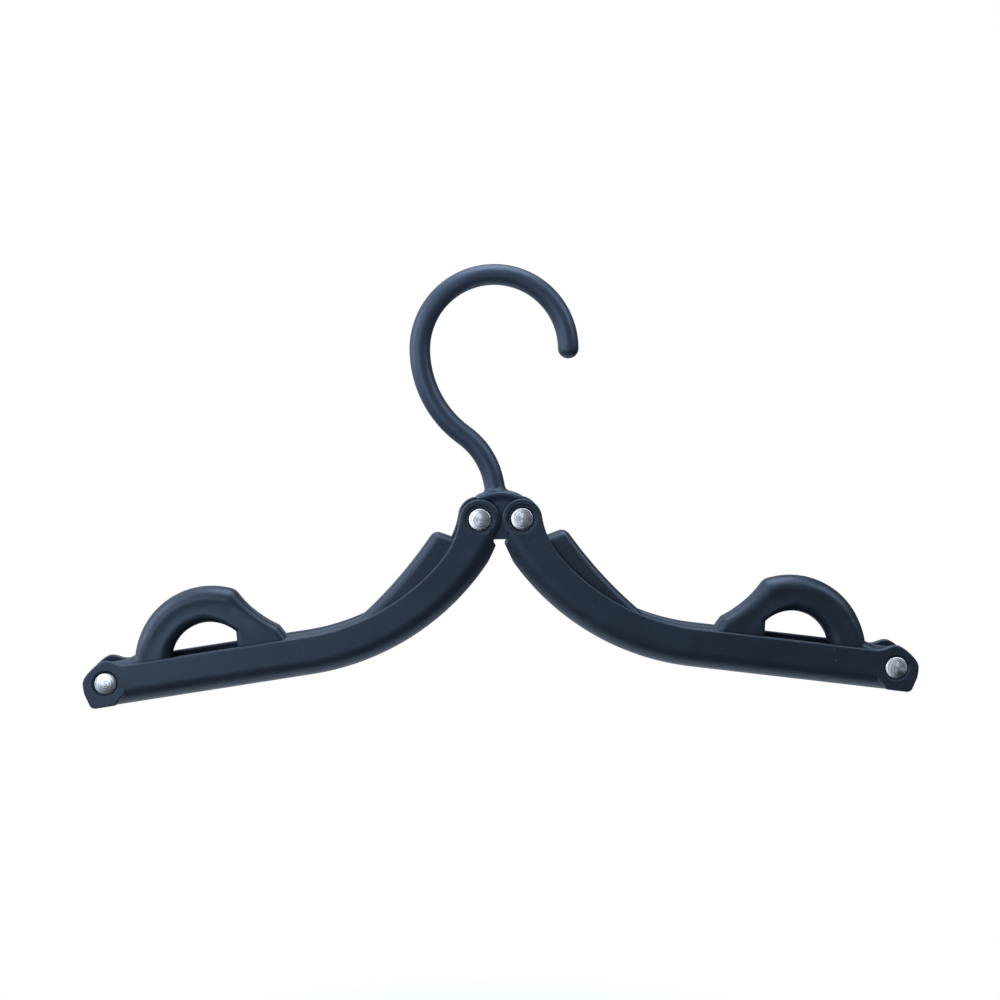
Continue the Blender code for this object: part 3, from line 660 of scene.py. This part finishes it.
def from_tip(inwards, up):
    """A point given along the arm's straight from the tip rivet and square to it."""
    return (tip[0] - inwards * math.cos(SLOPE) + up * math.sin(SLOPE),
            tip[1] + inwards * math.sin(SLOPE) + up * math.cos(SLOPE))


bend_over_tip = from_tip(0, BEND_RADIUS - FLOOR_LINE)
back_along = bend_over_tip[0] * math.cos(SLOPE) - bend_over_tip[1] * math.sin(SLOPE)
off_square = bend_over_tip[0] ** 2 + bend_over_tip[1] ** 2 - back_along ** 2
straight_length = back_along - math.sqrt((BEND_RADIUS - BEND_HUB_DEPTH) ** 2 - off_square)
bend_centre = from_tip(straight_length, BEND_RADIUS - FLOOR_LINE)
bend_end = point_at(bend_centre, BEND_RADIUS,
                    heading(bend_centre, (0.0, 0.0)) + math.degrees(BEND_END_RUN / BEND_RADIUS))


def along_and_rise(x, z):
    """Distance in from the tip rivet along the arm's straight, and height over the arm's line."""
    inwards = -(x - tip[0]) * math.cos(SLOPE) + (z - tip[1]) * math.sin(SLOPE)
    up = (x - tip[0]) * math.sin(SLOPE) + (z - tip[1]) * math.cos(SLOPE)
    bent = BEND_RADIUS - FLOOR_LINE - np.hypot(x - bend_centre[0], z - bend_centre[1])
    return inwards, up, np.where(inwards > straight_length, bent, up)


def side_of(start, end, x, z):
    """Distance to the right of a line that runs from start to end."""
    length = math.dist(start, end)
    return ((x - start[0]) * (end[1] - start[1]) - (z - start[1]) * (end[0] - start[0])) / length


def shared(*fields):
    """Field of what several solids share."""
    return functools.reduce(np.maximum, fields)


def wall_side(x, z, wall_rise):
    """Side view of one wall with its two ears: the hub shoulder and the tip fillet meet its top."""
    inwards, up, rise = along_and_rise(x, z)
    under = -FLOOR_LINE - rise
    shoulder_centre = circles_meet((0.0, 0.0), HUB_EAR_RADIUS + SHOULDER_RADIUS, bend_centre,
                                   BEND_RADIUS - FLOOR_LINE - wall_rise - SHOULDER_RADIUS, -1)
    fillet_up = wall_rise + TIP_EAR_FILLET
    fillet_in = math.sqrt((TIP_EAR_RADIUS + TIP_EAR_FILLET) ** 2 - fillet_up ** 2)
    fillet_centre = from_tip(fillet_in, fillet_up)
    past_hub = side_of(bend_centre, (0.0, 0.0), x, z)
    lip = np.minimum(WALL_EDGE - x, -side_of(LIP, LIP_CORNER, x, z))
    edge = np.maximum(lip, side_of(LIP, bend_end, x, z))
    band = shared(under, rise - wall_rise, past_hub, edge, -inwards)
    hollowed = SHOULDER_RADIUS - np.hypot(x - shoulder_centre[0], z - shoulder_centre[1])
    shoulder = shared(side_of(shoulder_centre, (0.0, 0.0), x, z),
                      side_of(shoulder_centre, bend_centre, x, z), hollowed, under, -x)
    hollowed = TIP_EAR_FILLET - np.hypot(x - fillet_centre[0], z - fillet_centre[1])
    fillet = shared(side_of(tip, fillet_centre, x, z), inwards - fillet_in, hollowed, under,
                    -inwards)
    ear = np.hypot(x, z) - HUB_EAR_RADIUS
    return np.minimum(np.minimum(band, ear), np.minimum(shoulder, fillet))


def tip_side(x, z):
    """Side view of the block round the tip rivet, with its slanted flat and cut lower corner."""
    inwards, up, rise = along_and_rise(x, z)
    reach = np.hypot(inwards, up)
    flat = math.radians(TIP_FLAT_DEGREES)
    over_flat = (up * math.sin(flat) - inwards * math.cos(flat)) - TIP_FLAT_DISTANCE
    upper = both(reach - TIP_EAR_RADIUS, over_flat, TIP_CORNER_ROUND)
    corner = side_of((-TIP_EAR_RADIUS, -TIP_SIDE_DROP), (-TIP_CORNER_RUN, -TIP_FOOT_DROP),
                     inwards, up)
    cut = both(corner, -TIP_FOOT_DROP - up, TIP_CORNER_ROUND)
    block = both(np.maximum(cut, -TIP_EAR_RADIUS - inwards), inwards - BOSS_FOOT, BOSS_ROUND)
    eased = np.clip(1 + up / BOSS_EASE, 0, 1)
    disc = np.maximum(reach - BOSS_RADIUS - (TIP_EAR_RADIUS - BOSS_RADIUS) * eased, -inwards)
    return np.where(up > 0, upper, np.minimum(block, disc))


def arm_field(x, y, z):
    """The right arm, from its hub rivet: x outwards along the arm and z up."""
    inwards, up, rise = along_and_rise(x, z)
    depth = np.abs(y)
    past_face = depth - ARM_HALF
    under = -FLOOR_LINE - rise
    block = tip_side(x, z)
    side = np.where(y > 0, wall_side(x, z, BACK_WALL_RISE), wall_side(x, z, WALL_RISE))
    side = np.minimum(side, shared(block, under, -inwards))
    shell = np.maximum(both(side, past_face, RIM_ROUND), both(under, past_face, BOTTOM_ROUND))
    solid = np.minimum(shell, both(block, past_face, RIM_ROUND))
    shelf = np.maximum(x - (WALL_EDGE + STOP_SHELF), z + SHELF_DROP)
    over_web = np.maximum(WALL - FLOOR_LINE - rise, -shelf)
    hollow = both(over_web, depth - (ARM_HALF - WALL), BOTTOM_ROUND - WALL)
    solid = both(solid, -hollow, RIM_ROUND)
    for reach, radius in ((np.hypot(x, z), HUB_SINK_RADIUS),
                          (np.hypot(x - tip[0], z - tip[1]), TIP_SINK_RADIUS)):
        sink = np.maximum(reach - radius, ARM_HALF - SINK_DEPTH - depth)
        seat = np.maximum(reach - SEAT_RADIUS, ARM_HALF - SEAT_DEPTH - depth)
        solid = both(solid, -sink, SINK_ROUND)
        solid = both(solid, -seat, SINK_ROUND)
        solid = np.maximum(solid, BORE_RADIUS - reach)
    return solid


def add_pair(kind, shape, skinned, seed, strength, dull_wall=None):
    """Adds a shape made for the right side at its arm's hub rivet, and its mirror on the left."""
    for side, hand in ((-1, "left"), (1, "right")):
        points, faces, normals = skinned
        if side < 0:
            points, faces, normals = points * MIRROR, faces[:, ::-1], normals * MIRROR
        points = points + np.array(pivots[hand + "_arm_fold"])
        node = hand + "_" + kind
        name = node + "_" + shape
        plastic = satin_plastic(node + "_satin_plastic", seed + side, strength, dull_wall)
        add_piece(name, mesh_of(name, points, faces, normals), plastic, node, node)


add_pair("arm", "channel", skin(
    arm_field, (-HUB_EAR_RADIUS - MM, -ARM_HALF - MM, -ARM_DROP - 2 * HUB_EAR_RADIUS),
    (ARM_RUN + 2 * HUB_EAR_RADIUS, ARM_HALF + MM, HUB_EAR_RADIUS + MM), ARM_STEP),
    ARM_SEED, ARM_TONE, ARM_HALF - WALL)


# Extensions
# Each extension is a narrow bar that lies in its arm's channel and swings out on the tip rivet.
# It is moulded with a thick D-shaped finger loop, a concave fin behind it and a raised end tab.

# Distances run inwards from the tip rivet and rises stand square to the arm's line. The tab's
# places are from the hub rivet.
BAR_HALF = 4.2 * MM
KNUCKLE_RADIUS = 5.2 * MM
RAMP_START = 5.8 * MM
RAMP_RISE = 6.3 * MM
LOOP_DISTANCE = 31.5 * MM
LOOP_RISE = 0.8 * MM
LOOP_RADIUS = 22.9 * MM
LOOP_BAND = 10.75 * MM
LOOP_SILL = 1.0 * MM
LEG_DISTANCE = 39.8 * MM
LOOP_CORNER_DEGREES = 62.8
LOOP_LEG_DEGREES = 43.2
FIN_RADIUS = 30.0 * MM
FIN_END = 53.1 * MM
FIN_END_RISE = 8.4 * MM
FIN_TOE = 54.9 * MM
BAR_RISE = 5.0 * MM
TAB_START = 36.0 * MM
TAB_TIP = (13.4 * MM, -3.6 * MM)
TAB_RADIUS = 137.0 * MM
TAB_CORNER = 2.6 * MM
TAB_END_SLOPE = 20.0
END_CLEARANCE = 3.7 * MM
# Rounding of each part, and the shallow dish in the loop's faces
BAR_ROUND = 2.3 * MM
LOOP_ROUND = 4.0 * MM
HOLE_ROUND = 3.4 * MM
LEG_ROUND = 1.4 * MM
FIN_CORNER = 4.5 * MM
LOOP_FADE = 8.0 * MM
DISH_DEPTH = 0.3 * MM
DISH_INSET = 6.2 * MM
DISH_HALF = 4.2 * MM
# The mesh's grid, the outline's steps in degrees, the pattern's place and the depth of colour
EXTENSION_STEP = 0.32 * MM
CURVE_STEP = 1.5
LONG_STEP = 0.75
CORNER_STEP = 6.0
EXTENSION_SEED = 6
# The extension's tone is painted shade, darkening the bar and its tab as if they lay in shadow
EXTENSION_TONE_WITH_PAINTED_SHADE = 0.8


def arc_between(start, end, radius, side, step):
    """Points along the short arc of a given radius; its centre lies left (1) or right (-1)."""
    half = math.dist(start, end) / 2
    middle = ((start[0] + end[0]) / 2, (start[1] + end[1]) / 2)
    off_middle = math.sqrt(radius * radius - half * half)
    centre = point_at(middle, off_middle, heading(start, end) + side * 90)
    first = heading(centre, start)
    sweep = (heading(centre, end) - first + 180) % 360 - 180
    return arc(centre, radius, first, first + sweep, step)


def line_to_circle(start, degrees, centre, radius):
    """Where a line that starts inside a circle leaves it."""
    way = point_at((0.0, 0.0), 1, degrees)
    out = (start[0] - centre[0], start[1] - centre[1])
    along = out[0] * way[0] + out[1] * way[1]
    reach = math.sqrt(radius ** 2 - out[0] ** 2 - out[1] ** 2 + along ** 2) - along
    return (start[0] + way[0] * reach, start[1] + way[1] * reach)


def rounded_corner(lead, corner, after, radius):
    """The lead's points, then an arc of the given radius in place of the corner."""
    turn_in = heading(corner, lead[-1])
    swing = (heading(corner, after) - turn_in + 180) % 360 - 180
    half = math.radians(abs(swing) / 2)
    cut = radius / math.tan(half)
    centre = point_at(corner, radius / math.sin(half), turn_in + swing / 2)
    start = heading(centre, point_at(corner, cut, turn_in))
    end = heading(centre, point_at(corner, cut, turn_in + swing))
    end = start + (end - start + 180) % 360 - 180
    kept = [point for point in lead if math.dist(point, corner) > cut]
    return kept + arc(centre, radius, start, end, CORNER_STEP)


swing_radius = math.hypot(ARM_RUN, ARM_DROP) - LUG_RADIUS - END_CLEARANCE
loop_centre = from_tip(LOOP_DISTANCE, LOOP_RISE)
slope_degrees = math.degrees(SLOPE)
bend_start = 270 - slope_degrees
bar_top = BEND_RADIUS - FLOOR_LINE - BAR_RISE
bar_bottom = BEND_RADIUS - FLOOR_LINE + KNUCKLE_RADIUS
loop_foot = math.degrees(math.asin((RAMP_RISE - LOOP_RISE) / LOOP_RADIUS)) - slope_degrees
loop_corner = 180 - slope_degrees - LOOP_CORNER_DEGREES
tab_angle = 180 + math.degrees(math.acos((bend_centre[0] - TAB_START) / bar_top))
end_point = line_to_circle(TAB_TIP, 180 + TAB_END_SLOPE, tip, swing_radius)
heel = circles_meet(tip, swing_radius, bend_centre, bar_bottom, 1)
tab_root = point_at(bend_centre, bar_top, tab_angle)
tab_edge = arc_between(tab_root, TAB_TIP, TAB_RADIUS, -1, LONG_STEP)
extension_side = arc(tip, KNUCKLE_RADIUS, -90 - slope_degrees, 90 - slope_degrees,
                     EAR_STEP_DEGREES)
extension_side += [from_tip(RAMP_START, KNUCKLE_RADIUS)]
extension_side += arc(loop_centre, LOOP_RADIUS, loop_foot, loop_corner, CURVE_STEP)
fin_end = from_tip(FIN_END, FIN_END_RISE)
fin_toe = from_tip(FIN_TOE, BAR_RISE)
fin_edge = arc_between(extension_side[-1], fin_end, FIN_RADIUS, -1, CURVE_STEP)
extension_side = rounded_corner(extension_side[:-1], fin_edge[0], fin_edge[2], FIN_CORNER)
fin_edge = [point for point in fin_edge if math.dist(point, fin_edge[0]) > FIN_CORNER / 2]
extension_side += rounded_corner(fin_edge[:-1], fin_edge[-1], fin_toe, FIN_CORNER / 2)
extension_side += [fin_toe]
extension_side += arc(bend_centre, bar_top, bend_start, tab_angle, LONG_STEP)
extension_side += rounded_corner(tab_edge[1:-1], TAB_TIP, end_point, TAB_CORNER)
extension_side += arc(tip, swing_radius, heading(tip, end_point) % 360,
                      heading(tip, heel) % 360, LONG_STEP)
extension_side += arc(bend_centre, bar_bottom, heading(bend_centre, heel) % 360, bend_start,
                      LONG_STEP)[1:]
sill = math.degrees(math.asin((LOOP_SILL - LOOP_RISE) / (LOOP_RADIUS - LOOP_BAND)))
loop_hole = arc(loop_centre, LOOP_RADIUS - LOOP_BAND, sill - slope_degrees,
                180 - slope_degrees - LOOP_LEG_DEGREES, CURVE_STEP)
loop_hole += [from_tip(LEG_DISTANCE, LOOP_SILL)]


def extension_field(x, y, z):
    """The right extension, from the hub rivet, with fuller rounding on the finger loop."""
    inwards, up, rise = along_and_rise(x, z)
    raised = np.clip((up - WALL_RISE) / LOOP_FADE, 0, 1)
    before_fin = np.clip((LEG_DISTANCE + LOOP_FADE - inwards) / LOOP_FADE, 0, 1)
    rounding = BAR_ROUND + (LOOP_ROUND - BAR_ROUND) * raised * before_fin
    off_ring = np.hypot(x - loop_centre[0], z - loop_centre[1]) - LOOP_RADIUS + DISH_INSET
    dish = DISH_DEPTH * raised * before_fin * np.clip(1 - (off_ring / DISH_HALF) ** 2, 0, 1) ** 2
    depth = np.abs(y) - BAR_HALF + dish
    bar = both(outline_field(extension_side, x, z), depth, rounding)
    to_leg = np.clip((LEG_DISTANCE - inwards) / LOOP_FADE, 0, 1)
    bar = both(bar, -outline_field(loop_hole, x, z), LEG_ROUND + (HOLE_ROUND - LEG_ROUND) * to_leg)
    return np.maximum(bar, BORE_RADIUS - np.hypot(x - tip[0], z - tip[1]))


add_pair("extension", "bar", skin(
    extension_field, (-MM, -BAR_HALF - MM, -ARM_DROP - 2 * KNUCKLE_RADIUS),
    (ARM_RUN + 2 * KNUCKLE_RADIUS, BAR_HALF + MM, MM), EXTENSION_STEP),
    EXTENSION_SEED, EXTENSION_TONE_WITH_PAINTED_SHADE)


# Rivets
# Four solid aluminium rivets hold the ears. The front head is formed to a low cone by a spinning
# tool, which leaves fine rings and a bright, patchy face; the back head is flat.
HEAD_RADIUS = 3.25 * MM
HEAD_RIM = 0.5 * MM
HEAD_CROWN = 0.45 * MM
SHANK_RADIUS = 2.0 * MM
SEAT_GAP = 0.3 * MM
# Where the rim's round meets the cone, and the round's steps, both in degrees
CONE_DEGREES = 80
RIM_STEP = 10.0
MERGE_DISTANCE = 0.01 * MM
RIVET_SIDES = 96
RIVET_SHARP_DEGREES = 40
# The aluminium's two tones, and its marks of spinning
DULL_TONE = (0.42, 0.42, 0.43)
BRIGHT_TONE = (0.82, 0.82, 0.82)
BRUSHING = 0.85
POLISH_ROUGHNESS = (0.20, 0.40)
PATCH_NOISE = (340.0, 3.0, 0.5)
RING_SCALE = 420.0
RING_DISTORTION = 2.5
RING_DETAIL = 2.0
RING_DETAIL_SCALE = 1.5
GROOVE_STRENGTH = 0.2
GROOVE_DEPTH = 0.06 * MM
DENT_STRENGTH = 0.15
DENT_DEPTH = 0.4 * MM
# Node, the body that carries it, its joint and a painted light level that lightens or darkens the
# head's tone to stand in for the light falling on it
RIVETS = (("hub_rivet_left", "hook", "left_arm_fold", 1.0),
          ("hub_rivet_right", "hook", "right_arm_fold", 0.95),
          ("tip_rivet_left", "left_arm", "left_extension_swing", 0.7),
          ("tip_rivet_right", "right_arm", "right_extension_swing", 1.4))


def spun_aluminium(name, centre, painted_light_level):
    """Bright aluminium, brushed in rings about the rivet's axis, with patches of polish.

    A level scales its tone as painted light and shade, so each head looks as lit as its place.
    """
    material, tree, shader = new_material(name)
    place = add_node(tree, "ShaderNodeTexCoord").outputs["Object"]
    centred = add_node(tree, "ShaderNodeMapping", {"Vector": place, "Location": -centre})
    where = centred.outputs["Vector"]
    around = add_node(tree, "ShaderNodeVectorMath", {0: where, 1: (0.0, 1.0, 0.0)},
                      operation="CROSS_PRODUCT")
    patches = noise(tree, where, *PATCH_NOISE)
    # Both tones are scaled by the painted light level, lightening or darkening the head as light
    # would
    dull = tuple(painted_light_level * part for part in DULL_TONE) + (1.0,)
    bright = tuple(painted_light_level * part for part in BRIGHT_TONE) + (1.0,)
    rings = add_node(tree, "ShaderNodeTexWave", {
        "Vector": where, "Scale": RING_SCALE, "Distortion": RING_DISTORTION,
        "Detail": RING_DETAIL, "Detail Scale": RING_DETAIL_SCALE},
        wave_type="RINGS", rings_direction="Y")
    grooves = add_node(tree, "ShaderNodeBump", {
        "Strength": GROOVE_STRENGTH, "Distance": GROOVE_DEPTH, "Height": rings.outputs["Fac"]})
    dents = add_node(tree, "ShaderNodeBump", {
        "Strength": DENT_STRENGTH, "Distance": DENT_DEPTH, "Height": patches,
        "Normal": grooves.outputs["Normal"]})
    feed(tree, shader, {
        "Metallic": 1.0, "Anisotropic": BRUSHING, "Tangent": around.outputs["Vector"],
        "Base Color": mixed(tree, patches, dull, bright),
        "Roughness": ranged(tree, patches, NOISE_SPAN, POLISH_ROUGHNESS),
        "Normal": dents.outputs["Normal"]})
    return material


def rivet_tree():
    """Geometry nodes that turn a rivet's half section about its axis."""
    tree, given, sockets = start_tree("turned_rivet", "Half Section", (
        ("Turning Radius", "Float"), ("Sides", "Int"), ("Centre", "Vector"),
        ("Finish", "Material")), "Rivet")
    curve = add_node(tree, "GeometryNodeMeshToCurve", {"Mesh": given["Half Section"]})
    track = add_node(tree, "GeometryNodeCurvePrimitiveCircle", {
        "Radius": given["Turning Radius"], "Resolution": given["Sides"]})
    turned = add_node(tree, "GeometryNodeCurveToMesh", {
        "Curve": track.outputs["Curve"], "Profile Curve": curve.outputs["Curve"]})
    merged = add_node(tree, "GeometryNodeMergeByDistance", {
        "Geometry": turned.outputs["Mesh"], "Distance": MERGE_DISTANCE})
    laid = add_node(tree, "GeometryNodeTransform", {
        "Geometry": merged.outputs["Geometry"], "Translation": given["Centre"],
        "Rotation": (math.radians(-90), 0.0, 0.0)})
    end_tree(tree, laid.outputs["Geometry"], given["Finish"], "Rivet")
    return tree, sockets


# The half section as (radius, depth), from the front head's middle to the back head's
seat = ARM_HALF - SEAT_DEPTH + SEAT_GAP
edge = HEAD_RIM / 2
section = [(0.0, seat + HEAD_RIM + HEAD_CROWN)]
section += arc((HEAD_RADIUS - edge, seat + edge), edge, CONE_DEGREES, 0, RIM_STEP)
section += [(HEAD_RADIUS, seat), (SHANK_RADIUS, seat)]
section += [(SHANK_RADIUS, -seat), (HEAD_RADIUS, -seat)]
section += arc((HEAD_RADIUS - edge, -seat - edge), edge, 0, -90, RIM_STEP)
section += [(0.0, -seat - HEAD_RIM)]
section_points = [(radius - HEAD_RADIUS, depth, 0.0) for radius, depth in section]

rivet_nodes, rivet_sockets = rivet_tree()
for node, body, joint, painted_light_level in RIVETS:
    half = bpy.data.meshes.new(node + "_section")
    half.from_pydata(section_points, chain(len(section)), [])
    blank = bpy.data.objects.new(node + "_blank", half)
    scene.collection.objects.link(blank)
    finish = spun_aluminium(node + "_aluminium", pivots[joint], painted_light_level)
    turning = blank.modifiers.new("turning", "NODES")
    turning.node_group = rivet_nodes
    turning[rivet_sockets["Turning Radius"]] = HEAD_RADIUS
    turning[rivet_sockets["Sides"]] = RIVET_SIDES
    turning[rivet_sockets["Centre"]] = pivots[joint]
    turning[rivet_sockets["Finish"]] = finish
    turned = plain_mesh(blank)
    bpy.data.objects.remove(blank)
    turned.set_sharp_from_angle(angle=math.radians(RIVET_SHARP_DEGREES))
    add_piece(node + "_turned", turned, finish, body, node)
